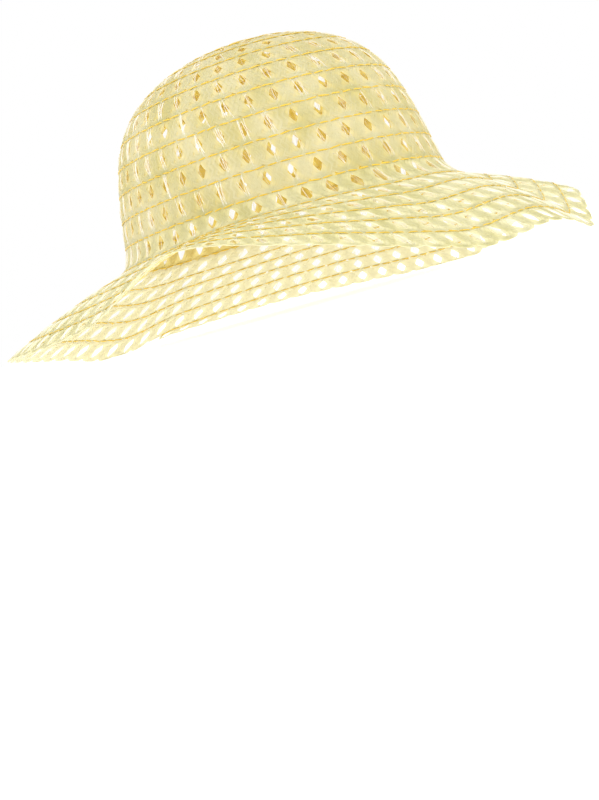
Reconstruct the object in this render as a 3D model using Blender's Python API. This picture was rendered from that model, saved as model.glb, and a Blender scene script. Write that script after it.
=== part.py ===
"""Woven straw bonnet: one pierced braid wound in a spiral, from the crown's tip to the brim's edge.

Lengths are in metres, +Z is up and the front of the hat faces -Y. Every row of the braid is a thin
ribbon, and each row's lower edge stands a little over the row below it, as sewn straw braid does.
"""
import math

import bpy
import numpy as np
from mathutils import Vector

MM = 0.001

# Crown, measured over the straw
CROWN_LENGTH = 200 * MM        # front to back at its foot
CROWN_WIDTH = 168 * MM         # side to side at its foot
CROWN_HEIGHT = 99 * MM         # foot to tip
CROWN_TAPER = 0.19             # share of its size that the crown loses towards the tip
CROWN_SQUARENESS = 5.2         # power that gives the flat tip and the round shoulder

# Brim
BRIM_REACH = 68 * MM           # from the crown's foot to the edge, seen from above
BRIM_DROOP = 49 * MM           # from the crown's foot down to the surface it stands on
BRIM_BEND = 9 * MM             # radius of the turn from crown to brim
BRIM_START_SLOPE = 0.75        # steepness where the brim leaves the crown, 1 being its mean slope
WAVE_HEIGHT = 47 * MM          # how far the edge's highest wave stands off the surface

# Braid
ROW_WIDTH = 13.3 * MM          # one row from stitch line to stitch line
STRAW_WALL = 1.2 * MM          # flattened straw bundles, woven over each other
ROW_STEP = 0.7 * MM            # how far a row's lower edge stands over the next row
ROW_GAP = 0.3 * MM             # between neighbouring rows
TIP_HOLE = 1.2 * MM            # eye that the first turn is gathered round
TIP_START = 0.55               # width of the first turn's folded end, as a share of a row
TAIL_TURNS = 0.12              # last stretch of the braid, which narrows towards its end
TAIL_WIDTH = 0.25              # width left at the braid's end, as a share of a row
TAIL_SIDE = 180.0              # degrees from the front to the side where the braid ends
WINDING = 1                    # 1 winds from the front to the hat's +X side
TIP_TURNS = 4                  # turns that lie nearly flat on the tip
SHOULDER_TURNS = 3             # turns that round the crown's shoulder

# Gaps woven into the outer rows
GAP_TURNS = 2                  # turns that are cut through
GAP_CELLS = 60                 # gaps in one turn
GAP_ALONG = 0.42               # width of a gap as a share of its cell
GAP_START = 0.26               # where a gap starts across its row
GAP_END = 0.74                 # where it ends
GAP_SLANT = 0.26               # how far a gap's sides lean, as a share of its cell

# Standing place
VIEW_SIDE = -35.0              # degrees from the front to the side that the leans are told from
LEAN_LEFT = 0.8                # degrees that the crown leans to the left, seen from that side
LEAN_BACK = 3.2                # degrees that the crown leans back, seen from that side
REST_SIDES = (-168.0, 38.0, 106.0)  # sides whose waves carry the hat, in degrees
REST_LAND = 1.0 * MM           # width of the worn land under the edge
REST_WEAR = 0.7 * MM           # how far the edge's lowest waves are worn flat

TURN_STEPS = 48                # stations round one plain turn
MERIDIAN_STEPS = 240           # samples that measure the crown's curve
BEND_STEPS = 8                 # samples that measure the bend
BRIM_STEPS = 16                # samples that measure the brim
NEAR_ROWS = 0.04               # rows up and down that a surface direction is taken over
NEAR_SIDE = 1.0                # degrees to each side that it is taken over
SHARP_ANGLE = 40.0             # degrees from which an edge is shaded as a corner

# Edge waves, by side from the front in degrees: height off the surface as a share of WAVE_HEIGHT,
# and reach as a share of BRIM_REACH
WAVES = (
    # side, height, reach
    (-168.0, 0.00, 1.04),
    (-150.0, 0.20, 1.08),
    (-120.0, 0.39, 1.20),
    (-95.0, 0.42, 1.14),
    (-80.0, 0.50, 1.06),
    (-57.0, 1.00, 1.00),
    (-35.0, 0.72, 1.00),
    (-15.0, 0.36, 1.00),
    (-2.0, 0.19, 0.99),
    (13.0, 0.26, 0.97),
    (38.0, 0.07, 0.94),
    (58.0, 0.54, 0.95),
    (80.0, 0.47, 0.96),
    (106.0, 0.11, 0.96),
    (145.0, 0.22, 0.98),
    (176.0, 0.14, 1.00),
)

MATERIALS = {
    # name: (colour, roughness)
    "tip_straw": ((0.84, 0.74, 0.42, 1.0), 0.55),
    "crown_straw": ((0.86, 0.77, 0.45, 1.0), 0.55),
    "brim_straw": ((0.85, 0.75, 0.42, 1.0), 0.55),
    "edge_straw": ((0.87, 0.79, 0.50, 1.0), 0.55),
}


def wave_slopes(places, values):
    """Slopes that ease a closed curve through its rows without swinging past them."""
    count = len(places)
    slopes = []
    for row in range(count):
        run_before = (places[row] - places[row - 1]) % 360.0
        run_after = (places[(row + 1) % count] - places[row]) % 360.0
        rise_before = (values[row] - values[row - 1]) / run_before
        rise_after = (values[(row + 1) % count] - values[row]) / run_after
        if rise_before * rise_after <= 0.0:
            slopes.append(0.0)
        else:
            slopes.append(2.0 / (1.0 / rise_before + 1.0 / rise_after))
    return slopes


def wave_at(side):
    """Edge height and reach at a side, eased between the rows of WAVES."""
    places = [row[0] for row in WAVES]
    count = len(places)
    row = max((index for index in range(count) if places[index] <= (side + 180.0) % 360.0 - 180.0),
              default=count - 1)
    after = (row + 1) % count
    run = (places[after] - places[row]) % 360.0
    share = ((side - places[row]) % 360.0) / run
    eased = []
    for column in (1, 2):
        values = [wave[column] for wave in WAVES]
        slopes = wave_slopes(places, values)
        cube = share ** 3
        square = share ** 2
        value = values[row] * (2 * cube - 3 * square + 1) + values[after] * (3 * square - 2 * cube)
        value += run * (slopes[row] * (cube - 2 * square + share) + slopes[after] * (cube - square))
        eased.append(value)
    return eased[0] * WAVE_HEIGHT, eased[1] * BRIM_REACH


def floor_normal():
    """Up direction of the surface, told in the crown's own frame."""
    view = math.radians(VIEW_SIDE)
    right = np.array([math.cos(view), math.sin(view), 0.0])
    near = np.array([math.sin(view), -math.cos(view), 0.0])
    up = np.array([0.0, 0.0, 1.0])
    up = up + math.tan(math.radians(LEAN_LEFT)) * right + math.tan(math.radians(LEAN_BACK)) * near
    return up / np.linalg.norm(up)


def stand_matrix(normal):
    """Rotation that turns the crown's frame so that the surface's normal is +Z."""
    turn = Vector(normal).rotation_difference(Vector((0.0, 0.0, 1.0)))
    return np.array(turn.to_matrix())


class Crown:
    """The crown's curve from its tip to where the brim's bend starts, measured along the straw."""

    def __init__(self):
        low = BRIM_BEND / CROWN_HEIGHT
        angles = np.linspace(0.0, math.pi / 2, MERIDIAN_STEPS)
        heights = low + (1.0 - low) * np.cos(angles)
        self.share = (1.0 - CROWN_TAPER * heights) * np.sqrt(1.0 - heights ** CROWN_SQUARENESS)
        self.height = heights * CROWN_HEIGHT
        mean = (CROWN_LENGTH + CROWN_WIDTH) / 4.0
        steps = np.hypot(np.diff(self.share * mean), np.diff(self.height))
        self.length = np.concatenate([[0.0], np.cumsum(steps)])
        self.total = self.length[-1]
        self.mean = mean


CROWN = Crown()
NORMAL = floor_normal()
STAND = stand_matrix(NORMAL)


def row_counts():
    """Turns of braid in the crown and in the whole hat, from the width of a row."""
    slope = math.atan2(BRIM_DROOP, BRIM_REACH)
    bend = BRIM_BEND * (math.pi / 2 - slope)
    brim = math.hypot(BRIM_REACH, BRIM_DROOP) - BRIM_BEND * 0.5
    crown_turns = max(TIP_TURNS + 2, round((CROWN.total + bend / 2) / ROW_WIDTH))
    brim_turns = max(GAP_TURNS + 2, round((brim + bend / 2) / ROW_WIDTH))
    return crown_turns, crown_turns + brim_turns


def brim_curve(side):
    """Bend and brim at a side, in the plane of the crown's outward normal, as a dense curve."""
    turn = math.radians(side)
    half_x = CROWN_WIDTH / 2
    half_y = CROWN_LENGTH / 2
    out = np.array([math.sin(turn) / half_x, -math.cos(turn) / half_y])
    out = out / np.linalg.norm(out)
    foot = np.array([half_x * math.sin(turn), -half_y * math.cos(turn)]) * CROWN.share[-1]
    height, reach = wave_at(side)
    edge = foot + out * reach
    drop = (height - BRIM_DROOP - NORMAL[0] * edge[0] - NORMAL[1] * edge[1]) / NORMAL[2]
    start = np.array([0.0, BRIM_BEND])
    end = np.array([reach, drop])
    wall = np.array([CROWN.share[-1] - CROWN.share[-2], 0.0]) * CROWN.mean
    wall[1] = CROWN.height[-1] - CROWN.height[-2]
    wall = wall / np.linalg.norm(wall)
    slope = -drop / reach * BRIM_START_SLOPE
    leave = np.array([1.0, -slope]) / math.hypot(1.0, slope)
    knee = start + wall * BRIM_BEND
    begin = knee + leave * BRIM_BEND
    share = np.linspace(0.0, 1.0, BEND_STEPS + 1)[:, None]
    bend = start * (1 - share) ** 2 + knee * 2 * share * (1 - share) + begin * share ** 2
    share = np.linspace(0.0, 1.0, BRIM_STEPS + 1)[1:, None]
    middle = begin + leave * (np.linalg.norm(end - begin) / 2)
    brim = begin * (1 - share) ** 2 + middle * 2 * share * (1 - share) + end * share ** 2
    curve = np.vstack([bend, brim])
    steps = np.hypot(*np.diff(curve, axis=0).T)
    length = np.concatenate([[0.0], np.cumsum(steps)])
    return foot, out, curve, length / length[-1]


BRIM_CACHE = {}


def mid_point(side, turns):
    """Point of the hat's middle surface, by side and by how many rows lie above it."""
    crown_turns, all_turns = row_counts()
    bend_turns = crown_turns - 0.5
    if turns <= bend_turns:
        along = CROWN.total * turns / bend_turns
        share = np.interp(along, CROWN.length, CROWN.share)
        height = np.interp(along, CROWN.length, CROWN.height)
        turn = math.radians(side)
        x = share * CROWN_WIDTH / 2 * math.sin(turn)
        y = -share * CROWN_LENGTH / 2 * math.cos(turn)
        return np.array([x, y, height])
    key = round(side % 360.0, 4)
    if key not in BRIM_CACHE:
        BRIM_CACHE[key] = brim_curve(side)
    foot, out, curve, length = BRIM_CACHE[key]
    share = (turns - bend_turns) / (all_turns - 0.5 - bend_turns)
    reach = np.interp(share, length, curve[:, 0])
    height = np.interp(share, length, curve[:, 1])
    if share > 1.0:
        last = curve[-1] - curve[-2]
        beyond = (share - 1.0) / (length[-1] - length[-2])
        reach += last[0] * beyond
        height += last[1] * beyond
    return np.array([foot[0] + out[0] * reach, foot[1] + out[1] * reach, height])


def surface_point(side, turns, lift):
    """Point of the hat at a height over its middle surface, in the crown's frame."""
    down = mid_point(side, turns + NEAR_ROWS) - mid_point(side, turns - NEAR_ROWS)
    along = mid_point(side + NEAR_SIDE, turns) - mid_point(side - NEAR_SIDE, turns)
    normal = np.cross(down, along)
    return mid_point(side, turns) + normal / np.linalg.norm(normal) * lift


def braid_edges(turn):
    """Upper and lower edge of the braid after a number of turns, both told in rows."""
    all_turns = row_counts()[1]
    lower = TIP_START + turn
    upper = lower - 1.0
    if turn < 1.0:
        upper = TIP_HOLE / ROW_WIDTH
    left = all_turns - TIP_START - turn
    if left < TAIL_TURNS:
        lower = upper + TAIL_WIDTH + (1.0 - TAIL_WIDTH) * left / TAIL_TURNS
    return upper + ROW_GAP / ROW_WIDTH, lower


def side_after(turn):
    """Side of the hat that the braid has reached after a number of turns, in degrees."""
    last = row_counts()[1] - TIP_START
    return TAIL_SIDE + WINDING * (turn - last) * 360.0


def braid_point(turn, across, over):
    """Point of the braid: turns from its start, share across it, and share of its thickness."""
    upper, lower = braid_edges(turn)
    rows = upper + (lower - upper) * across
    step = ROW_STEP * across
    return surface_point(side_after(turn), rows, step + STRAW_WALL * (over - 0.5))


def ribbon(name, columns, across, gaps):
    """Close one stretch of braid into a solid, with gaps cut through where a cell is left out.

    columns holds, for each station along the braid, one turn value for each share in across.
    """
    count = len(across)
    points = []
    for over in (1.0, 0.0):
        for column in columns:
            for turn, share in zip(column, across):
                points.append(STAND @ braid_point(turn, share, over))
    below = len(columns) * count
    faces = []

    def top(along, row):
        return along * count + row

    cells = {(along, row) for along in range(len(columns) - 1) for row in range(count - 1)}
    cells -= set(gaps)
    for along, row in sorted(cells):
        corners = [top(along, row), top(along, row + 1), top(along + 1, row + 1), top(along + 1, row)]
        faces.append(corners)
        faces.append([below + corner for corner in reversed(corners)])
        sides = ((along - 1, row), (along, row + 1), (along + 1, row), (along, row - 1))
        for side, neighbour in enumerate(sides):
            if neighbour not in cells:
                first = corners[side]
                second = corners[(side + 1) % 4]
                faces.append([second, first, below + first, below + second])
    if WINDING < 0:
        faces = [list(reversed(face)) for face in faces]
    return name, np.array(points), faces


def plain_columns(start, end):
    """Even stations along the braid, from one turn value to another."""
    count = max(2, round((end - start) * TURN_STEPS) + 1)
    return [(turn, turn) for turn in np.linspace(start, end, count)]


def pierced_columns(start, end, across):
    """Stations on both sides of each gap, leaning with the gaps, and the cells left open."""
    cells = round((end - start) * GAP_CELLS)
    pitch = (end - start) / cells
    columns = [[start] * len(across)]
    gaps = []
    row = across.index(GAP_START)
    lean = WINDING * GAP_SLANT * pitch
    for cell in range(cells):
        middle = start + (cell + 0.5) * pitch
        for edge in (-0.5, 0.5):
            place = middle + edge * GAP_ALONG * pitch
            columns.append([place + (share - 0.5) * lean for share in across])
        gaps.append((len(columns) - 2, row))
    columns.append([end] * len(across))
    return columns, gaps


def braid_pieces():
    """The braid's named stretches, each as points and faces."""
    crown_turns, all_turns = row_counts()
    last = all_turns - TIP_START
    half_gap = ROW_GAP / CROWN_WIDTH / math.pi
    edge_start = last - GAP_TURNS
    middle_start = last - 1.0
    pieces = []
    plain = (
        ("crown_tip", 0.0, TIP_TURNS),
        ("crown_shoulder", TIP_TURNS, TIP_TURNS + SHOULDER_TURNS),
        ("crown_side", TIP_TURNS + SHOULDER_TURNS, crown_turns - TIP_START),
        ("brim", crown_turns - TIP_START, edge_start),
    )
    for name, start, end in plain:
        pieces.append(ribbon(name, plain_columns(start + half_gap, end - half_gap), (0.0, 1.0), ()))
    across = (0.0, GAP_START, GAP_END, 1.0)
    columns, gaps = pierced_columns(edge_start + half_gap, middle_start - half_gap, across)
    pieces.append(ribbon("brim_outer_row", columns, across, gaps))
    across = (0.0, GAP_START, GAP_END, 1.0 - REST_LAND / ROW_WIDTH, 1.0)
    columns, gaps = pierced_columns(middle_start + half_gap, last, across)
    pieces.append(ribbon("brim_edge_row", columns, across, gaps))
    return pieces


def edge_point(side):
    """Underside of the brim's edge at a side, as the last row passes it."""
    last = row_counts()[1] - TIP_START
    turn = last - ((WINDING * (TAIL_SIDE - side)) % 360.0) / 360.0
    return STAND @ braid_point(turn, 1.0, 0.0)


def place_on_floor(pieces):
    """Stand the hat on its three lowest waves, over the origin, and wear them a little flat."""
    first, second, third = [edge_point(side) for side in REST_SIDES]
    normal = np.cross(second - first, third - first)
    settle = stand_matrix(normal / np.linalg.norm(normal))
    turned = [points @ settle.T for name, points, faces in pieces]
    every = np.vstack(turned)
    low = every.min(axis=0)
    high = every.max(axis=0)
    shift = np.array([(low[0] + high[0]) / 2, (low[1] + high[1]) / 2, low[2] + REST_WEAR])
    placed = []
    for (name, points, faces), points in zip(pieces, turned):
        points = points - shift
        points[:, 2] = np.maximum(points[:, 2], 0.0)
        placed.append((name, points, faces))
    return placed


def straw_material(name):
    """Matt straw in the piece's own shade."""
    colour, roughness = MATERIALS[name]
    material = bpy.data.materials.new(name)
    material.use_nodes = True
    shader = material.node_tree.nodes["Principled BSDF"]
    shader.inputs["Base Color"].default_value = colour
    shader.inputs["Roughness"].default_value = roughness
    shader.inputs["Metallic"].default_value = 0.0
    material.diffuse_color = colour
    return material


def make_object(name, points, faces, material):
    """Turn points and faces into one named object with its material."""
    mesh = bpy.data.meshes.new(name)
    mesh.from_pydata([tuple(point) for point in points], [], faces)
    mesh.validate()
    mesh.materials.append(material)
    mesh.shade_smooth()
    mesh.set_sharp_from_angle(angle=math.radians(SHARP_ANGLE))
    item = bpy.data.objects.new(name, mesh)
    bpy.context.scene.collection.objects.link(item)
    return item


def main():
    for item in list(bpy.data.objects):
        bpy.data.objects.remove(item, do_unlink=True)
    shades = {
        "crown_tip": "tip_straw",
        "crown_shoulder": "crown_straw",
        "crown_side": "crown_straw",
        "brim": "brim_straw",
        "brim_outer_row": "edge_straw",
        "brim_edge_row": "edge_straw",
    }
    for name, points, faces in place_on_floor(braid_pieces()):
        make_object(name, points, faces, straw_material(shades[name]))


main()
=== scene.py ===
"""Looks of the woven straw bonnet: plaited straws, sewing thread, loose filaments, a plain studio."""

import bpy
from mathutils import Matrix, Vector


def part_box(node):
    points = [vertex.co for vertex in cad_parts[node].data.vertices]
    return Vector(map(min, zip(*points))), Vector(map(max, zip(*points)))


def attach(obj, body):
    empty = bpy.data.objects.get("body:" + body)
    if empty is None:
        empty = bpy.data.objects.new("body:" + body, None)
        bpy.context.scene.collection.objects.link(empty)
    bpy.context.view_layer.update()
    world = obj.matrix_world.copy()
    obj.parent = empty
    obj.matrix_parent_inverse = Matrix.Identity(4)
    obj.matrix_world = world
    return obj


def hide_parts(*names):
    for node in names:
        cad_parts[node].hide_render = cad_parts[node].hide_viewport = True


bl_info = {
    "name": "Woven straw bonnet",
    "version": (1, 0, 0),
    "blender": (4, 5, 0),
    "location": "View3D > Sidebar > Bonnet",
    "description": "Weaves a pierced straw braid, sews it into a bonnet and lights it",
    "category": "Object",
}

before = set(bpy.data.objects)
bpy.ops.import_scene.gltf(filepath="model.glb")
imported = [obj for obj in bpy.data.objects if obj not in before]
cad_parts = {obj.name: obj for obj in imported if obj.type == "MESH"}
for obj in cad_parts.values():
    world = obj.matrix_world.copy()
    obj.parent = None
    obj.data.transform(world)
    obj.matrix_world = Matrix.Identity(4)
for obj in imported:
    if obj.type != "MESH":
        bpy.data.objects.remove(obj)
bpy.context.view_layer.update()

import math

import bpy
import numpy as np
from mathutils import Matrix, Vector

MM = 0.001

# Sizes that the solids were made from, repeated here because the braid follows the same surface
CROWN_LENGTH = 200 * MM
CROWN_WIDTH = 168 * MM
CROWN_HEIGHT = 99 * MM
CROWN_TAPER = 0.19             # share of its size that the crown loses towards the tip
CROWN_SQUARENESS = 5.2         # power that gives the flat tip and the round shoulder
BRIM_REACH = 68 * MM
BRIM_DROOP = 49 * MM
BRIM_BEND = 9 * MM
BRIM_START_SLOPE = 0.75        # steepness where the brim leaves the crown, 1 being its mean slope
WAVE_HEIGHT = 47 * MM
ROW_WIDTH = 13.3 * MM
STRAW_WALL = 1.2 * MM          # thickness of a solid row
SOLID_STEP = 0.7 * MM          # how far a solid row's lower edge stands over the next row
TIP_HOLE = 1.2 * MM            # from the tip to the braid's upper edge where it starts
TIP_START = 0.55               # rows from the tip to the braid's lower edge where it starts
TAIL_TURNS = 0.12              # last stretch of the braid, which narrows towards its end
TAIL_WIDTH = 0.25              # width left at the braid's end, as a share of a row
TAIL_SIDE = 180.0              # degrees from the front to the side where the braid ends
TIP_TURNS = 4
SHOULDER_TURNS = 3
CROWN_TURNS = 11
ALL_TURNS = 17
LAST_TURN = ALL_TURNS - TIP_START   # turns from the braid's start to its end
VIEW_SIDE = -35.0              # degrees from the front to the side that the leans are told from
LEAN_LEFT = 0.8                # degrees that the crown leans to the left, seen from that side
LEAN_BACK = 3.2                # degrees that the crown leans back, seen from that side
REST_SIDES = (-168.0, 38.0, 106.0)  # sides whose waves carry the hat, in degrees
WAVES = (
    # side in degrees from the front, height as a share of WAVE_HEIGHT, reach as a share of BRIM_REACH
    (-168.0, 0.00, 1.04),
    (-150.0, 0.20, 1.08),
    (-120.0, 0.39, 1.20),
    (-95.0, 0.42, 1.14),
    (-80.0, 0.50, 1.06),
    (-57.0, 1.00, 1.00),
    (-35.0, 0.72, 1.00),
    (-15.0, 0.36, 1.00),
    (-2.0, 0.19, 0.99),
    (13.0, 0.26, 0.97),
    (38.0, 0.07, 0.94),
    (58.0, 0.54, 0.95),
    (80.0, 0.47, 0.96),
    (106.0, 0.11, 0.96),
    (145.0, 0.22, 0.98),
    (176.0, 0.14, 1.00),
)

# The plait: its straws, the shape of their path and how far its gaps lean
STRAWS = 6
BUNDLE = 3                     # straws that run side by side
MIDDLE_STRAW = BUNDLE // 2
STRAW_CORNERS = 4
MARKS = 2 * STRAWS             # on each straw in two repeats: ten crossings and a turn at each edge
MARK_RINGS = 2                 # rings from one mark to the next
SPARE_RINGS = 2                # rings added at each end, drawn together where they pass the stretch
EDGE_FLATNESS = 1.2            # how flat a straw runs at the edges
CROWN_SLANT = 0.06
BRIM_SLANT = 0.32
BRAID_LIFT = 0.3 * MM          # height of the plait's middle over the hat's smooth surface
LENGTH_STEPS = 3000            # samples that measure the braid's length

# Stitches of the sewing thread
TUBE_PITCH = 10.0              # from one straight tube to the next, before they are bent into place
THREAD_CORNERS = 5
STITCH_RINGS = 6
SEAM = 0.75 * MM               # from a row's border to its stitches, just inside the straw edge
STITCH_SLANT = 0.7 * MM        # how far a stitch runs across the row at most
STITCH_ARCH = 0.4 * MM         # how far its middle stands over its ends
STITCH_SINK = 1.2              # depth of its ends below the straw's face, as a share of STITCH_ARCH
THREAD_END = 0.55              # share of its thickness left where it dips into the straw
THREAD_FLATNESS = 0.7          # height of the thread as a share of its width

# Loose filaments that cross one gap
FILAMENTS_EACH = 8
FILAMENT_CORNERS = 3
FILAMENT_RINGS = 4
FILAMENT_SPREAD = 1.9 * MM     # from the gap's middle at most, along the row
FILAMENT_SHIFT = 1.0 * MM      # from the row's middle at most, across it
FILAMENT_REACH = 4.9 * MM      # half of its length across the row
FILAMENT_UNEVEN = 1.7 * MM     # how far that reach varies
FILAMENT_TILT = 0.7 * MM       # how far its end leans along the row
FILAMENT_STRAY = 1.1 * MM      # how far that lean varies
FILAMENT_LIFT = 0.15 * MM      # height of its ends over the plait's middle
FILAMENT_BOW = 0.35 * MM       # how far its middle bows up on average

LIGHT_THROUGH = 0.45           # share of a straw's shading that is light from behind it

# Colour sockets of a Mix node
FIRST, SECOND, MIXED = 6, 7, 2

# Stretches of the braid that stand for the solids: first turn, last turn and finish
STRETCHES = {
    "crown_tip": (0.0, TIP_TURNS, "tip_straw"),
    "crown_shoulder": (TIP_TURNS, TIP_TURNS + SHOULDER_TURNS, "crown_straw"),
    "crown_side": (TIP_TURNS + SHOULDER_TURNS, CROWN_TURNS - TIP_START, "crown_straw"),
    "brim": (CROWN_TURNS - TIP_START, LAST_TURN - 2.0, "brim_straw"),
    "brim_outer_row": (LAST_TURN - 2.0, LAST_TURN - 1.0, "edge_straw"),
    "brim_edge_row": (LAST_TURN - 1.0, LAST_TURN, "edge_straw"),
}


def linear(code):
    """Turn an sRGB hex colour into the linear colour that shaders use."""
    parts = [int(code[place:place + 2], 16) / 255.0 for place in (1, 3, 5)]
    return [part / 12.92 if part <= 0.04045 else ((part + 0.055) / 1.055) ** 2.4 for part in parts]


def colour_property(name, description, code):
    """A colour that a user may change, given as a hex code."""
    return bpy.props.FloatVectorProperty(
        name=name, description=description, subtype="COLOR", min=0.0, max=1.0, default=linear(code))


def length_property(name, description, default):
    """A length that a user may change."""
    return bpy.props.FloatProperty(
        name=name, description=description, default=default, min=0.0, unit="LENGTH", precision=5)


class HatSurface:
    """The hat's smooth middle surface, sampled once and read back by side and by row."""

    SIDE_STEP = 1.5            # degrees from one sampled side to the next
    ROW_STEP = 1.0 / 12.0      # rows from one sample to the next down a side
    PROFILE_STEPS = 240
    STAND_STEPS = 960
    BEND_POINTS = 9
    BRIM_POINTS = 33

    def __init__(self):
        self.normal = self.lean()
        self.read_profile()
        self.sides = np.arange(0.0, 360.0, self.SIDE_STEP)
        self.rows = np.arange(0.0, ALL_TURNS + 1.0, self.ROW_STEP)
        self.grid = np.array([self.meridian(side) for side in self.sides])
        along = np.roll(self.grid, -1, axis=0) - np.roll(self.grid, 1, axis=0)
        down = np.gradient(self.grid, axis=1)
        normals = np.cross(down, along)
        sizes = np.linalg.norm(normals, axis=2, keepdims=True)
        self.normals = normals / np.maximum(sizes, 1e-15)
        self.normals[:, 0] = (0.0, 0.0, 1.0)
        self.turn = self.turn_between(self.normal, (0.0, 0.0, 1.0))
        self.shift = np.zeros(3)
        self.stand()

    def lean(self):
        """Up direction of the standing surface in the crown's own frame."""
        view = math.radians(VIEW_SIDE)
        right = np.array([math.cos(view), math.sin(view), 0.0])
        near = np.array([math.sin(view), -math.cos(view), 0.0])
        up = np.array([0.0, 0.0, 1.0]) + math.tan(math.radians(LEAN_LEFT)) * right
        up = up + math.tan(math.radians(LEAN_BACK)) * near
        return up / np.linalg.norm(up)

    def turn_between(self, first, second):
        """Rotation that carries one direction onto another."""
        return np.array(Vector(first).rotation_difference(Vector(second)).to_matrix())

    def read_profile(self):
        """The crown's curve from its tip to the brim's bend, as shares, heights and lengths."""
        low = BRIM_BEND / CROWN_HEIGHT
        heights = low + (1.0 - low) * np.cos(np.linspace(0.0, math.pi / 2, self.PROFILE_STEPS))
        self.share = (1.0 - CROWN_TAPER * heights) * np.sqrt(1.0 - heights ** CROWN_SQUARENESS)
        self.height = heights * CROWN_HEIGHT
        mean = (CROWN_LENGTH + CROWN_WIDTH) / 4.0
        steps = np.hypot(np.diff(self.share * mean), np.diff(self.height))
        self.length = np.concatenate([[0.0], np.cumsum(steps)])
        wall = np.array([(self.share[-1] - self.share[-2]) * mean, self.height[-1] - self.height[-2]])
        self.wall = wall / np.linalg.norm(wall)

    def edge_wave(self, side):
        """Height and reach of the brim's edge at a side, eased between the rows of WAVES."""
        places = [row[0] for row in WAVES]
        count = len(places)
        side = (side + 180.0) % 360.0 - 180.0
        row = max((index for index in range(count) if places[index] <= side), default=count - 1)
        after = (row + 1) % count
        run = (places[after] - places[row]) % 360.0
        share = ((side - places[row]) % 360.0) / run
        eased = []
        for column in (1, 2):
            values = [wave[column] for wave in WAVES]
            first, second = (self.wave_slope(places, values, index) for index in (row, after))
            cube, square = share ** 3, share ** 2
            value = values[row] * (2 * cube - 3 * square + 1)
            value += values[after] * (3 * square - 2 * cube)
            value += run * (first * (cube - 2 * square + share) + second * (cube - square))
            eased.append(value)
        return eased[0] * WAVE_HEIGHT, eased[1] * BRIM_REACH

    def wave_slope(self, places, values, row):
        """Slope at one row of the wave table that never swings past its neighbours."""
        after = (row + 1) % len(places)
        rise_before = (values[row] - values[row - 1]) / ((places[row] - places[row - 1]) % 360.0)
        rise_after = (values[after] - values[row]) / ((places[after] - places[row]) % 360.0)
        if rise_before * rise_after <= 0.0:
            return 0.0
        return 2.0 / (1.0 / rise_before + 1.0 / rise_after)

    def meridian(self, side):
        """Points down one side, from the tip over the bend to past the brim's edge."""
        turn = math.radians(side)
        half_x, half_y = CROWN_WIDTH / 2, CROWN_LENGTH / 2
        bend_row = CROWN_TURNS - 0.5
        along = self.length[-1] * np.minimum(self.rows / bend_row, 1.0)
        share = np.interp(along, self.length, self.share)
        points = np.zeros((len(self.rows), 3))
        points[:, 0] = share * half_x * math.sin(turn)
        points[:, 1] = -share * half_y * math.cos(turn)
        points[:, 2] = np.interp(along, self.length, self.height)
        out = np.array([math.sin(turn) / half_x, -math.cos(turn) / half_y])
        out = out / np.linalg.norm(out)
        foot = np.array([half_x * math.sin(turn), -half_y * math.cos(turn)]) * self.share[-1]
        height, reach = self.edge_wave(side)
        edge = foot + out * reach
        drop = (height - BRIM_DROOP - self.normal[:2] @ edge) / self.normal[2]
        start, end = np.array([0.0, BRIM_BEND]), np.array([reach, drop])
        slope = -drop / reach * BRIM_START_SLOPE
        leave = np.array([1.0, -slope]) / math.hypot(1.0, slope)
        knee = start + self.wall * BRIM_BEND
        begin = knee + leave * BRIM_BEND
        middle = begin + leave * (np.linalg.norm(end - begin) / 2)
        bend = self.arc(start, knee, begin, self.BEND_POINTS)
        curve = np.vstack([bend, self.arc(begin, middle, end, self.BRIM_POINTS)[1:]])
        length = np.concatenate([[0.0], np.cumsum(np.hypot(*np.diff(curve, axis=0).T))])
        length = length / length[-1]
        lower = self.rows > bend_row
        share = (self.rows[lower] - bend_row) / (ALL_TURNS - 0.5 - bend_row)
        beyond = np.maximum(share - 1.0, 0.0) / (length[-1] - length[-2])
        away = np.interp(share, length, curve[:, 0]) + (curve[-1] - curve[-2])[0] * beyond
        points[lower, 0] = foot[0] + out[0] * away
        points[lower, 1] = foot[1] + out[1] * away
        points[lower, 2] = np.interp(share, length, curve[:, 1]) + (curve[-1] - curve[-2])[1] * beyond
        return points

    def arc(self, start, middle, end, count):
        """Smooth bend from one point to another that rounds the corner between them."""
        share = np.linspace(0.0, 1.0, count)[:, None]
        return start * (1 - share) ** 2 + middle * 2 * share * (1 - share) + end * share ** 2

    def at(self, side, row, lift):
        """Points at these sides, rows and heights over the surface, standing on the floor."""
        side = np.asarray(side, float) % 360.0 / self.SIDE_STEP
        row = np.clip(np.asarray(row, float) / self.ROW_STEP, 0.0, len(self.rows) - 1.001)
        first, top = np.floor(side).astype(int), np.floor(row).astype(int)
        share, part = (side - first)[:, None], (row - top)[:, None]
        first = first % len(self.sides)
        second = (first + 1) % len(self.sides)
        found = []
        for grid in (self.grid, self.normals):
            upper = grid[first, top] * (1 - share) + grid[second, top] * share
            lower = grid[first, top + 1] * (1 - share) + grid[second, top + 1] * share
            found.append(upper * (1 - part) + lower * part)
        normals = found[1] / np.linalg.norm(found[1], axis=1, keepdims=True)
        points = found[0] + normals * np.asarray(lift, float)[:, None]
        return points @ self.turn.T + self.shift

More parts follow.
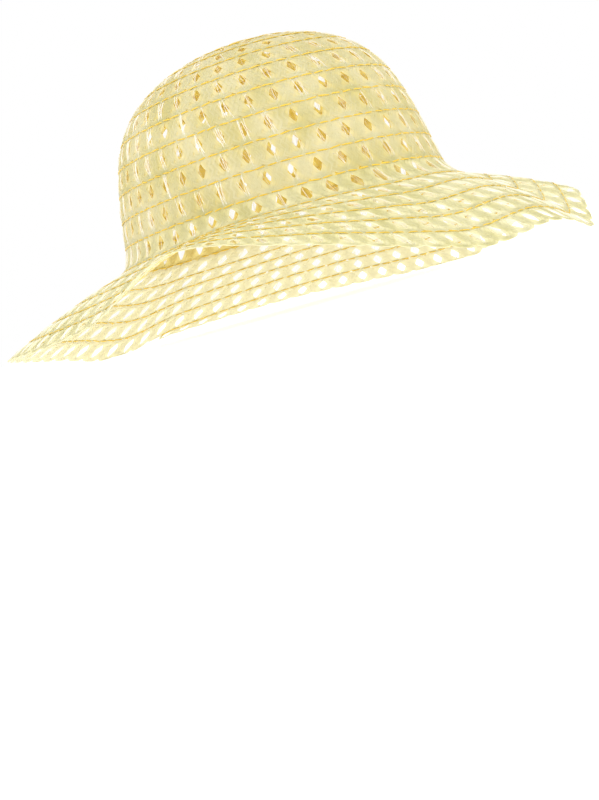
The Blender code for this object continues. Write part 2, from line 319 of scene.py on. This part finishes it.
    def stand(self):
        """Settle on the three lowest waves, then meet the solids' own place."""
        sides = np.array(REST_SIDES)
        turns = LAST_TURN - ((TAIL_SIDE - sides) % 360.0) / 360.0
        undersides = np.full(3, SOLID_STEP - STRAW_WALL / 2)
        first, second, third = self.at(sides, TIP_START + turns, undersides)
        normal = np.cross(second - first, third - first)
        settle = self.turn_between(normal / np.linalg.norm(normal), (0.0, 0.0, 1.0))
        self.turn = settle @ self.turn
        start, end = STRETCHES["crown_side"][:2]
        turns = np.linspace(start, end, self.STAND_STEPS)
        lower = TIP_START + turns
        points = np.vstack([
            self.at(TAIL_SIDE - (LAST_TURN - turns) * 360.0, lower - 1.0 + share,
                    np.full(self.STAND_STEPS, SOLID_STEP * share + side))
            for share in (0.0, 1.0) for side in (-STRAW_WALL / 2, STRAW_WALL / 2)])
        low, high = (np.array(corner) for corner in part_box("crown_side"))
        self.shift = (low + high) / 2 - (points.min(axis=0) + points.max(axis=0)) / 2


def braid_points(surface, turns, across, lift):
    """Points of the braid by turns from its start, share across it and height."""
    lower = TIP_START + turns
    upper = np.where(turns < 1.0, TIP_HOLE / ROW_WIDTH, lower - 1.0)
    left = LAST_TURN - turns
    tail = TAIL_WIDTH + (1.0 - TAIL_WIDTH) * left / TAIL_TURNS
    lower = np.where(left < TAIL_TURNS, upper + tail, lower)
    points = surface.at(TAIL_SIDE - left * 360.0, upper + (lower - upper) * across, lift)
    points[:, 2] = np.maximum(points[:, 2], 0.0)
    return points


SURFACE = HatSurface()
LENGTH_TURNS = np.linspace(0.0, LAST_TURN, LENGTH_STEPS)


def lengths_along():
    """How much braid is used up at each of LENGTH_TURNS, measured along its middle."""
    middle = braid_points(SURFACE, LENGTH_TURNS, np.full(LENGTH_STEPS, 0.5), np.zeros(LENGTH_STEPS))
    return np.concatenate([[0.0], np.cumsum(np.linalg.norm(np.diff(middle, axis=0), axis=1))])


LENGTHS = lengths_along()


class HatSizes(bpy.types.PropertyGroup):
    """Sizes of the plait, its rows, the sewing thread and the loose filaments."""

    repeat: length_property("Plait repeat", "From one gap of the braid to the next", 13.0 * MM)
    straw_width: length_property("Straw width", "Width of one flat straw of the crown", 2.5 * MM)
    brim_straw_width: length_property("Brim straw width", "Width of one flat straw of the brim", 2.1 * MM)
    straw_thickness: length_property("Straw thickness", "Thickness of one flat straw", 0.24 * MM)
    straw_spacing: length_property("Straw spacing", "From straw to straw in a crown bundle", 2.75 * MM)
    brim_spacing: length_property("Brim spacing", "From straw to straw in a brim bundle", 2.35 * MM)
    weave_rise: length_property("Weave rise", "How far a straw rises or dips at a crossing", 0.15 * MM)
    overlap: length_property("Row overlap", "How far a row lies over the next row", 1.7 * MM)
    row_step: length_property("Row step", "How far a row's lower edge stands over the next row", 0.36 * MM)
    thread_radius: length_property("Thread radius", "Radius of the sewing thread", 0.37 * MM)
    stitch_pitch: length_property("Stitch pitch", "From one stitch to the next", 6.4 * MM)
    stitch_length: length_property("Stitch length", "Length of one stitch, with its sunk ends", 5.7 * MM)
    filament_radius: length_property("Filament radius", "Radius of the widest loose filament", 0.14 * MM)


class HatColours(bpy.types.PropertyGroup):
    """Colours of the straw, the thread, the filaments and the floor."""

    straw: colour_property("Straw", "Straw in full light", "#F5F0CA")
    straw_shade: colour_property("Straw shade", "Denser, deeper yellow straw", "#DFD89A")
    # Deeper yellow on the crown's inner faces: painted shade of the hat's inside, deepened by light bouncing
    # within the crown
    painted_inside_shade: colour_property("Straw inside", "Straw on the crown's inner face", "#F6E072")
    # Paler straw on the brim's underside: painted light, the underside as it looks when lit from behind
    painted_underside_light: colour_property("Straw under the brim", "Paler straw on the brim's underside", "#FAF4DA")
    straw_glow: colour_property("Straw glow", "Light that has passed through the straw", "#F7F6E2")
    straw_inner_glow: colour_property("Inner glow", "Light that the crown's inside lets through", "#F9E998")
    thread: colour_property("Thread", "Sewing thread", "#EFCB45")
    filament: colour_property("Filament", "Loose clear filaments", "#FDF9EC")
    floor: colour_property("Floor", "Matt paper floor", "#F7F7F6")


def sizes():
    """Sizes that the panel shows."""
    return bpy.context.scene.hat_sizes


def colours():
    """Colours that the panel shows."""
    return bpy.context.scene.hat_colours


def add_node(tree, kind, links=(), **settings):
    """Add a node, set its values by socket or property name, and link sockets into it."""
    node = tree.nodes.new(kind)
    for name, value in settings.items():
        if hasattr(node, name):
            setattr(node, name, value)
        else:
            node.inputs[name.replace("_", " ").title()].default_value = value
    for source, target in links:
        tree.links.new(source, node.inputs[target])
    return node


def new_material(name, roughness):
    """A plain material with its shader, ready for more nodes."""
    material = bpy.data.materials.new(name)
    material.use_nodes = True
    shader = material.node_tree.nodes["Principled BSDF"]
    shader.inputs["Roughness"].default_value = roughness
    return material, material.node_tree, shader


def straw_material(name):
    """Flat straw, taken to be drawn polypropylene: fine lengthwise filaments with a soft satin sheen.

    The filaments are drawn 0.8 mm apart, coarser than the real ones, so that they show.
    """
    material, tree, shader = new_material(name, 0.46)
    palette = colours()
    place = add_node(tree, "ShaderNodeTexCoord")
    stretch = add_node(tree, "ShaderNodeMapping", [(place.outputs["UV"], "Vector")])
    stretch.inputs["Scale"].default_value = (1.0 / (24 * MM), 1.0 / (0.8 * MM), 1.0)
    strands = add_node(tree, "ShaderNodeTexNoise", [(stretch.outputs["Vector"], "Vector")])
    strands.inputs["Scale"].default_value = 1.0
    strands.inputs["Detail"].default_value = 2.0
    patches = add_node(tree, "ShaderNodeTexNoise", [(place.outputs["Object"], "Vector")])
    patches.inputs["Scale"].default_value = 1.0 / (22 * MM)
    patches.inputs["Detail"].default_value = 3.0
    both = add_node(tree, "ShaderNodeMath", [(strands.outputs["Fac"], 0), (patches.outputs["Fac"], 1)],
                    operation="ADD")
    ramp = add_node(tree, "ShaderNodeMapRange", [(both.outputs["Value"], "Value")])
    ramp.inputs["From Min"].default_value = 0.8
    ramp.inputs["From Max"].default_value = 1.2
    tint = add_node(tree, "ShaderNodeMix", [(ramp.outputs["Result"], 0)], data_type="RGBA")
    tint.inputs[FIRST].default_value = [*palette.straw_shade, 1.0]
    tint.inputs[SECOND].default_value = [*palette.straw, 1.0]
    # The inner mask marks the crown's inner faces, which are painted a deeper yellow as shade of the crown's
    # inside
    inner = add_node(tree, "ShaderNodeAttribute", attribute_name="inner")
    # The under mask marks the brim's underside, which is painted paler as if lit from behind
    under = add_node(tree, "ShaderNodeAttribute", attribute_name="under")
    pale = add_node(tree, "ShaderNodeMix", [(under.outputs["Fac"], 0), (tint.outputs[MIXED], FIRST)],
                    data_type="RGBA")
    pale.inputs[SECOND].default_value = [*palette.painted_underside_light, 1.0]
    blend = add_node(tree, "ShaderNodeMix", [(inner.outputs["Fac"], 0), (pale.outputs[MIXED], FIRST)],
                     data_type="RGBA")
    blend.inputs[SECOND].default_value = [*palette.painted_inside_shade, 1.0]
    tree.links.new(blend.outputs[MIXED], shader.inputs["Base Color"])
    relief = add_node(tree, "ShaderNodeBump", [(strands.outputs["Fac"], "Height")])
    relief.inputs["Strength"].default_value = 0.6
    relief.inputs["Distance"].default_value = 0.15 * MM
    tree.links.new(relief.outputs["Normal"], shader.inputs["Normal"])
    shader.inputs["Sheen Weight"].default_value = 0.15
    shader.inputs["Sheen Roughness"].default_value = 0.4
    shader.inputs["IOR"].default_value = 1.49
    # The crown's inner faces also let through a deeper yellow, a painted tint of the light bouncing inside
    # the crown
    warmth = add_node(tree, "ShaderNodeMix", [(inner.outputs["Fac"], 0)], data_type="RGBA")
    warmth.inputs[FIRST].default_value = [*palette.straw_glow, 1.0]
    warmth.inputs[SECOND].default_value = [*palette.straw_inner_glow, 1.0]
    glow = add_node(tree, "ShaderNodeBsdfTranslucent", [(warmth.outputs[MIXED], "Color")])
    straw = add_node(tree, "ShaderNodeMixShader", [(shader.outputs[0], 1), (glow.outputs[0], 2)])
    straw.inputs[0].default_value = LIGHT_THROUGH
    tree.links.new(straw.outputs[0], tree.nodes["Material Output"].inputs["Surface"])
    return material


def thread_material():
    """Sewing thread, taken to be polyester: golden, slightly glossy, ridged every 1 mm for its twist."""
    material, tree, shader = new_material("sewing_thread", 0.4)
    palette = colours()
    place = add_node(tree, "ShaderNodeTexCoord")
    twist = add_node(tree, "ShaderNodeMapping", [(place.outputs["UV"], "Vector")])
    twist.inputs["Scale"].default_value = (1.0 / (0.9 * MM), 1.0, 1.0)
    wave = add_node(tree, "ShaderNodeTexWave", [(twist.outputs["Vector"], "Vector")],
                    bands_direction="DIAGONAL")
    wave.inputs["Scale"].default_value = 0.6
    wave.inputs["Distortion"].default_value = 0.6
    patches = add_node(tree, "ShaderNodeTexNoise", [(place.outputs["Object"], "Vector")])
    patches.inputs["Scale"].default_value = 1.0 / (15 * MM)
    tint = add_node(tree, "ShaderNodeMix", [(patches.outputs["Fac"], 0)], data_type="RGBA")
    tint.inputs[FIRST].default_value = [part * 0.82 for part in palette.thread] + [1.0]
    tint.inputs[SECOND].default_value = [min(part * 1.15, 1.0) for part in palette.thread] + [1.0]
    tree.links.new(tint.outputs[MIXED], shader.inputs["Base Color"])
    relief = add_node(tree, "ShaderNodeBump", [(wave.outputs["Fac"], "Height")])
    relief.inputs["Strength"].default_value = 0.5
    relief.inputs["Distance"].default_value = 0.1 * MM
    tree.links.new(relief.outputs["Normal"], shader.inputs["Normal"])
    return material


def filament_material():
    """Single clear filaments that came loose: thin, pale and glossy, so they catch the light."""
    material, tree, shader = new_material("loose_filament", 0.25)
    palette = colours()
    place = add_node(tree, "ShaderNodeTexCoord")
    patches = add_node(tree, "ShaderNodeTexNoise", [(place.outputs["Object"], "Vector")])
    patches.inputs["Scale"].default_value = 1.0 / (9 * MM)
    tint = add_node(tree, "ShaderNodeMix", [(patches.outputs["Fac"], 0)], data_type="RGBA")
    tint.inputs[FIRST].default_value = [part * 0.93 for part in palette.filament] + [1.0]
    tint.inputs[SECOND].default_value = [*palette.filament, 1.0]
    tree.links.new(tint.outputs[MIXED], shader.inputs["Base Color"])
    return material


def select_only(*items):
    """Leave nothing selected but these objects, the first of them active."""
    bpy.ops.object.select_all(action="DESELECT")
    for item in items:
        item.select_set(True)
    bpy.context.view_layer.objects.active = items[0]


def straight_tube(name, corners, rings, pitch=None, copies=1):
    """A closed straight tube along X, one unit from ring to ring, its section one unit wide.

    copies repeats it at the pitch, each copy a closed body of its own.
    """
    bpy.ops.object.select_all(action="DESELECT")
    bpy.ops.mesh.primitive_cylinder_add(
        vertices=corners, radius=0.5, depth=1.0, end_fill_type="NOTHING",
        location=(0.5, 0.0, 0.0), rotation=(0.0, math.pi / 2, 0.0))
    tube = bpy.context.object
    tube.name = name
    tube.data.name = name
    bpy.ops.object.transform_apply(location=True, rotation=True, scale=True)
    length = tube.modifiers.new("length", "ARRAY")
    length.count = rings
    length.use_relative_offset = False
    length.use_constant_offset = True
    length.constant_offset_displace = (1.0, 0.0, 0.0)
    length.use_merge_vertices = True
    length.merge_threshold = 0.0001
    bpy.ops.object.modifier_apply(modifier=length.name)
    bpy.ops.object.mode_set(mode="EDIT")
    bpy.ops.mesh.select_all(action="SELECT")
    bpy.ops.mesh.fill_holes(sides=corners)
    bpy.ops.mesh.normals_make_consistent(inside=False)
    bpy.ops.object.mode_set(mode="OBJECT")
    if copies > 1:
        row = tube.modifiers.new("row", "ARRAY")
        row.count = copies
        row.use_relative_offset = False
        row.use_constant_offset = True
        row.constant_offset_displace = (pitch, 0.0, 0.0)
        bpy.ops.object.modifier_apply(modifier=row.name)
    return tube


def read_points(item):
    """An object's points as rows of numbers."""
    points = np.empty(len(item.data.vertices) * 3)
    item.data.vertices.foreach_get("co", points)
    return points.reshape(-1, 3)


def write_points(item, points, along, across, **tones):
    """Move an object's points, and give it a UV map and any values that its material reads.

    The map runs along the braid in metres, and across the straw, the thread or the row.
    """
    item.data.vertices.foreach_set("co", points.ravel())
    while item.data.uv_layers:
        item.data.uv_layers.remove(item.data.uv_layers[0])
    layer = item.data.uv_layers.new(name="straw")
    corners = np.empty(len(item.data.loops), dtype=np.int32)
    item.data.loops.foreach_get("vertex_index", corners)
    layer.data.foreach_set("uv", np.column_stack([along[corners], across[corners]]).ravel())
    for name, values in tones.items():
        item.data.attributes.new(name, "FLOAT", "POINT").data.foreach_set("value", values)
    item.data.update()


def finish_piece(item, material, node=None):
    """Give a finished piece its material and its body, and hide the solid that it stands for."""
    item.data.materials.clear()
    item.data.materials.append(material)
    select_only(item)
    bpy.ops.object.shade_smooth_by_angle(angle=math.radians(50))
    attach(item, "root")
    if node:
        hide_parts(node)


def strand_phases():
    """Where each straw of the plait tops the braid's edge, within two repeats."""
    size = sizes()
    return [bundle * size.repeat + (step - MIDDLE_STRAW) * size.straw_spacing
            for bundle in range(STRAWS // BUNDLE) for step in range(BUNDLE)]


def weave_marks(index):
    """Places along the braid where a straw turns at an edge or crosses another, over two repeats."""
    size = sizes()
    phases = strand_phases()
    own = phases[index]
    marks = []
    for place in range(index, index + MARKS + 1):
        rounds, other = divmod(place, STRAWS)
        marks.append((own + phases[other] + 2 * size.repeat * rounds) / 2)
    return np.array(marks)


def brim_share(along):
    """How far the plait has opened from its crown form to its brim form, by length along it."""
    return np.interp(np.interp(along, LENGTHS, LENGTH_TURNS), (CROWN_TURNS - 1.0, CROWN_TURNS), (0.0, 1.0))


def slant(brim):
    """How far the plait runs along for each unit across, which leans its gaps."""
    return CROWN_SLANT + (BRIM_SLANT - CROWN_SLANT) * brim


def weave_strand(name, index, start, end):
    """One flat straw of the plait, from one length along the braid to another."""
    size = sizes()
    period = 2 * size.repeat
    marks = weave_marks(index)
    first = math.floor((start - marks[0]) / period * MARKS) * MARK_RINGS
    last = math.ceil((end - marks[0]) / period * MARKS) * MARK_RINGS
    straw = straight_tube(name, STRAW_CORNERS, last - first + 2 * SPARE_RINGS)
    raw = read_points(straw)
    step = (raw[:, 0] + first - SPARE_RINGS) / MARK_RINGS
    turn, part = np.divmod(step, float(MARKS))
    along = np.interp(part, np.arange(MARKS + 1), marks) + turn * period
    along = np.clip(along, start, end)
    brim = brim_share(along)
    width = size.straw_width + (size.brim_straw_width - size.straw_width) * brim
    reach = (ROW_WIDTH + size.overlap - width) / 2
    angle = np.pi * (along - marks[0]) / size.repeat
    bent = np.tanh(EDGE_FLATNESS * np.cos(angle))
    across = -reach * bent / math.tanh(EDGE_FLATNESS)
    slope = reach * EDGE_FLATNESS / math.tanh(EDGE_FLATNESS) * (1.0 - bent ** 2)
    slope = slope * np.pi / size.repeat * np.sin(angle)
    rise = -np.cos(np.pi * step) * np.clip(2.0 * np.sin(np.pi * step / STRAWS), -1.0, 1.0)
    # The tube's corners lie on its axes, so a slight turn sorts them by side and by face
    corner = np.arctan2(raw[:, 2], raw[:, 1]) + 0.01
    side = np.where(np.cos(corner) > 0, 0.5, -0.5) * width
    face = np.where(np.sin(corner) > 0, 0.5, -0.5)
    bend = np.hypot(1.0, slope)
    share = 0.5 + (across + side / bend) / ROW_WIDTH
    place = along - side * slope / bend + slant(brim) * (share - 0.5) * ROW_WIDTH
    # The straws of a bundle lie closer together on the brim
    place = place + (index % BUNDLE - MIDDLE_STRAW) * (size.brim_spacing - size.straw_spacing) * brim
    place = np.clip(place, LENGTHS[0], LENGTHS[-1])
    lift = rise * size.weave_rise + face * size.straw_thickness + size.row_step * (share - 0.5)
    turns = np.interp(place, LENGTHS, LENGTH_TURNS)
    # inner marks the crown's inner faces for painted shade, under marks the brim's underside, painted paler
    # as if lit from behind
    write_points(straw, braid_points(SURFACE, turns, share, lift + BRAID_LIFT), along, side,
                 inner=np.where(face > 0, 0.0, 1.0 - brim), under=np.where(face > 0, 0.0, brim))
    return straw


def weave_stretch(name):
    """Six straws plaited together, standing for one stretch of the hat's solid braid."""
    first, last, slot = STRETCHES[name]
    start, end = np.interp((first, last), LENGTH_TURNS, LENGTHS)
    straws = [weave_strand(f"woven_{name}", index, start, end) for index in range(STRAWS)]
    select_only(*straws)
    bpy.ops.object.join()
    piece = bpy.context.object
    piece.name = f"woven_{name}"
    finish_piece(piece, straw_material(f"drawn_{slot}"), name)


def sew_stretch(name, face):
    """Running stitches that hold one row on the next, seen on the outer face (1) or the inner one (-1).

    On each face they lie along the straw edge that ends there.
    """
    size = sizes()
    start, end = np.interp(STRETCHES[name][:2], LENGTH_TURNS, LENGTHS)
    count = int((end - start) / size.stitch_pitch)
    thread = straight_tube(f"stitches_{name}", THREAD_CORNERS, STITCH_RINGS, TUBE_PITCH, count)
    raw = read_points(thread)
    stitch, ring = np.divmod(raw[:, 0], TUBE_PITCH)
    chance = np.random.default_rng(len(name) + 10 - 10 * face).uniform(-1.0, 1.0, (count + 1, 3))
    vary = chance[stitch.astype(int)]
    part = ring / STITCH_RINGS
    # Stitches vary a little in place, length and slant
    along = start + (stitch + 0.5 + 0.06 * vary[:, 0]) * size.stitch_pitch
    along = along + (part - 0.5) * size.stitch_length * (1.0 + 0.12 * vary[:, 1])
    arch = np.sqrt(np.maximum(0.0, 1.0 - (2 * part - 1.0) ** 2))
    thick = size.thread_radius * 2 * (THREAD_END + (1.0 - THREAD_END) * arch)
    side = raw[:, 1] * thick
    seam = SEAM * face + (part - 0.5) * STITCH_SLANT * vary[:, 2]
    share = 1.0 + (seam + side) / ROW_WIDTH
    top = size.weave_rise + size.straw_thickness / 2 + size.row_step / 2 + (arch - STITCH_SINK) * STITCH_ARCH
    lift = BRAID_LIFT + face * top + raw[:, 2] * thick * THREAD_FLATNESS
    turns = np.interp(np.clip(along, start, end), LENGTHS, LENGTH_TURNS)
    write_points(thread, braid_points(SURFACE, turns, share, lift), along, side)
    return thread


def loosen_filaments(name):
    """Fine loose filaments that cross the gaps of one stretch."""
    size = sizes()
    start, end = np.interp(STRETCHES[name][:2], LENGTH_TURNS, LENGTHS)
    count = int((end - start) / size.repeat) * FILAMENTS_EACH
    hairs = straight_tube(f"filaments_{name}", FILAMENT_CORNERS, FILAMENT_RINGS, TUBE_PITCH, count)
    raw = read_points(hairs)
    hair, ring = np.divmod(raw[:, 0], TUBE_PITCH)
    hair = hair.astype(int)
    gap = hair // FILAMENTS_EACH
    chance = np.random.default_rng(40 + len(name)).uniform(-1.0, 1.0, (count + 1, 5))
    vary = chance[hair]
    # Some gaps are full of filaments and others nearly bare
    fullness = 0.5 + 0.5 * chance[gap * FILAMENTS_EACH, 0]
    radius = size.filament_radius * np.clip(1.2 * fullness - 0.2 + 0.6 * vary[:, 4], 0.1, 1.0)
    part = ring / FILAMENT_RINGS
    middle = (math.ceil(start / size.repeat) + gap) * size.repeat + vary[:, 0] * FILAMENT_SPREAD
    reach = FILAMENT_REACH + FILAMENT_UNEVEN * vary[:, 1]
    tilt = FILAMENT_TILT + FILAMENT_STRAY * vary[:, 2]
    along = middle + (part - 0.5) * 2 * tilt + raw[:, 1] * radius * 2
    share = 0.5 + (vary[:, 3] * FILAMENT_SHIFT + (part - 0.5) * 2 * reach) / ROW_WIDTH
    along = along + slant(brim_share(along)) * (share - 0.5) * ROW_WIDTH
    bow = np.sin(np.pi * part)
    lift = FILAMENT_LIFT + FILAMENT_BOW * bow * (1.0 + vary[:, 4]) + raw[:, 2] * radius * 2
    turns = np.interp(np.clip(along, start, end), LENGTHS, LENGTH_TURNS)
    points = braid_points(SURFACE, turns, share, lift + BRAID_LIFT + size.row_step * (share - 0.5))
    write_points(hairs, points, along, share)
    return hairs


def join_pieces(name, items, material):
    """Join like pieces into one and finish it."""
    select_only(*items)
    bpy.ops.object.join()
    piece = bpy.context.object
    piece.name = name
    finish_piece(piece, material)


class HAT_OT_crown(bpy.types.Operator):
    """Weave the braid of the crown's tip, shoulder and side"""

    bl_idname = "bonnet.weave_crown"
    bl_label = "Weave crown"

    def execute(self, context):
        for name in ("crown_tip", "crown_shoulder", "crown_side"):
            weave_stretch(name)
        return {"FINISHED"}


class HAT_OT_brim(bpy.types.Operator):
    """Weave the braid of the brim and its outer rows"""

    bl_idname = "bonnet.weave_brim"
    bl_label = "Weave brim"

    def execute(self, context):
        for name in ("brim", "brim_outer_row", "brim_edge_row"):
            weave_stretch(name)
        return {"FINISHED"}


class HAT_OT_stitches(bpy.types.Operator):
    """Sew the rows together with running stitches"""

    bl_idname = "bonnet.sew_rows"
    bl_label = "Sew rows"

    def execute(self, context):
        thread = thread_material()
        rows = ("crown_tip", "crown_shoulder", "crown_side")
        crown = [sew_stretch(name, face) for name in rows for face in (1, -1)]
        brim = [sew_stretch(name, face) for name in ("brim", "brim_outer_row") for face in (1, -1)]
        join_pieces("crown_stitches", crown, thread)
        join_pieces("brim_stitches", brim, thread)
        return {"FINISHED"}


class HAT_OT_filaments(bpy.types.Operator):
    """Lay fine loose filaments across the gaps"""

    bl_idname = "bonnet.loosen_filaments"
    bl_label = "Loosen filaments"

    def execute(self, context):
        hair = filament_material()
        crown = [loosen_filaments(name) for name in ("crown_tip", "crown_shoulder", "crown_side")]
        brim = [loosen_filaments(name) for name in ("brim", "brim_outer_row", "brim_edge_row")]
        join_pieces("crown_filaments", crown, hair)
        join_pieces("brim_filaments", brim, hair)
        return {"FINISHED"}


# Camera, told by where the hat stands in a picture 599 wide and 800 high
PICTURE = (599.0, 800.0)
FOCUS = 2040.0                 # pixels that one metre takes up at one metre
CAMERA_SIDE = -35.2            # degrees from the hat's front
CAMERA_DISTANCE = 1.1
CAMERA_HEIGHT = 0.0144
AIM = (0.0023, -0.0027, 0.0956)
AIM_PIXEL = (265.0, 131.0)     # where that point stands in the picture
CAMERA_ROLL = -15.92

LAMPS = (
    # name, place, diameter, power in watts
    ("key", (-0.9, -1.3, 1.5), 1.2, 6.0),
    ("top", (0.3, 0.4, 1.8), 1.4, 5.0),
)
LAMP_TARGET = (0.0, 0.0, 0.06)
FLOOR_SIZE = 14.0
FLOOR_DEPTH = 0.2 * MM         # just under the hat, so that no two faces lie in one plane
PAPER_GLOW = 0.65              # keeps the paper white and lights the hat from below


def camera_matrix():
    """Place and turn of a camera that sees the hat where the picture shows it."""
    side = math.radians(CAMERA_SIDE)
    aim = Vector(AIM)
    drop = (CAMERA_HEIGHT - aim.z) / CAMERA_DISTANCE
    flat = math.sqrt(1.0 - drop * drop)
    place = aim + Vector((math.sin(side) * flat, -math.cos(side) * flat, drop)) * CAMERA_DISTANCE
    ahead = (aim - place).normalized()
    right = ahead.cross(Vector((0.0, 0.0, 1.0))).normalized()
    up = right.cross(ahead)
    roll = math.radians(CAMERA_ROLL)
    right, up = right * math.cos(roll) + up * math.sin(roll), up * math.cos(roll) - right * math.sin(roll)
    ahead = ahead * FOCUS + right * (PICTURE[0] / 2 - AIM_PIXEL[0]) - up * (PICTURE[1] / 2 - AIM_PIXEL[1])
    ahead = ahead.normalized()
    right = (right - ahead * right.dot(ahead)).normalized()
    up = right.cross(ahead)
    turn = Matrix((right, up, -ahead)).transposed()
    return Matrix.Translation(place) @ turn.to_4x4()


def area_light(name, place, size, power):
    """A soft round lamp aimed at the hat."""
    lamp = bpy.data.lights.new(name, "AREA")
    lamp.shape = "DISK"
    lamp.size = size
    lamp.energy = power
    item = bpy.data.objects.new(name, lamp)
    item.location = place
    item.rotation_euler = (Vector(LAMP_TARGET) - Vector(place)).to_track_quat("-Z", "Y").to_euler()
    bpy.context.scene.collection.objects.link(item)


class HAT_OT_stage(bpy.types.Operator):
    """Set the floor, the white surroundings, the lamps and the camera"""

    bl_idname = "bonnet.set_stage"
    bl_label = "Set stage"

    def execute(self, context):
        scene = context.scene
        # Pale matt paper with a faint grain, which gives off light of its own
        paper, tree, shader = new_material("matt_paper", 0.9)
        place = add_node(tree, "ShaderNodeTexCoord")
        grain = add_node(tree, "ShaderNodeTexNoise", [(place.outputs["Object"], "Vector")])
        grain.inputs["Scale"].default_value = 1.0 / (4 * MM)
        tint = add_node(tree, "ShaderNodeMix", [(grain.outputs["Fac"], 0)], data_type="RGBA")
        tint.inputs[FIRST].default_value = [*colours().floor, 1.0]
        tint.inputs[SECOND].default_value = [min(part * 1.02, 1.0) for part in colours().floor] + [1.0]
        tree.links.new(tint.outputs[MIXED], shader.inputs["Base Color"])
        shader.inputs["Emission Color"].default_value = [*colours().floor, 1.0]
        shader.inputs["Emission Strength"].default_value = PAPER_GLOW
        bpy.ops.object.select_all(action="DESELECT")
        bpy.ops.mesh.primitive_plane_add(size=FLOOR_SIZE, location=(0.0, 0.0, -FLOOR_DEPTH))
        floor = context.object
        floor.name = "floor"
        bpy.ops.object.transform_apply(location=True, rotation=True, scale=True)
        floor.data.materials.append(paper)
        world = bpy.data.worlds.new("studio")
        world.use_nodes = True
        world.node_tree.nodes["Background"].inputs["Color"].default_value = (1.0, 1.0, 1.0, 1.0)
        world.node_tree.nodes["Background"].inputs["Strength"].default_value = 1.0
        scene.world = world
        for lamp in LAMPS:
            area_light(*lamp)
        lens = bpy.data.cameras.new("camera")
        lens.lens = lens.sensor_width * FOCUS / PICTURE[1]
        lens.clip_start = 0.01
        camera = bpy.data.objects.new("camera", lens)
        camera.matrix_world = camera_matrix()
        scene.collection.objects.link(camera)
        scene.camera = camera
        scene.view_settings.view_transform = "Standard"
        return {"FINISHED"}


class HAT_PT_panel(bpy.types.Panel):
    """Steps and settings of the woven bonnet"""

    bl_idname = "HAT_PT_panel"
    bl_label = "Woven bonnet"
    bl_space_type = "VIEW_3D"
    bl_region_type = "UI"
    bl_category = "Bonnet"

    def draw(self, context):
        for group in (context.scene.hat_sizes, context.scene.hat_colours):
            box = self.layout.box()
            for name in group.bl_rna.properties.keys():
                if name not in ("rna_type", "name"):
                    box.prop(group, name)
        for step in STEPS:
            self.layout.operator(step.bl_idname)


STEPS = (HAT_OT_stage, HAT_OT_crown, HAT_OT_brim, HAT_OT_stitches, HAT_OT_filaments)
CLASSES = (HatSizes, HatColours, *STEPS, HAT_PT_panel)


def register():
    """Add the bonnet's settings, steps and panel to Blender."""
    for entry in CLASSES:
        bpy.utils.register_class(entry)
    bpy.types.Scene.hat_sizes = bpy.props.PointerProperty(type=HatSizes)
    bpy.types.Scene.hat_colours = bpy.props.PointerProperty(type=HatColours)


def unregister():
    """Take them out again."""
    del bpy.types.Scene.hat_colours
    del bpy.types.Scene.hat_sizes
    for entry in reversed(CLASSES):
        bpy.utils.unregister_class(entry)


def main():
    """Add the bonnet's settings and steps, set the stage and make every piece."""
    register()
    bpy.ops.bonnet.set_stage()
    bpy.ops.bonnet.weave_crown()
    bpy.ops.bonnet.weave_brim()
    bpy.ops.bonnet.sew_rows()
    bpy.ops.bonnet.loosen_filaments()


if __name__ == "__main__":
    main()
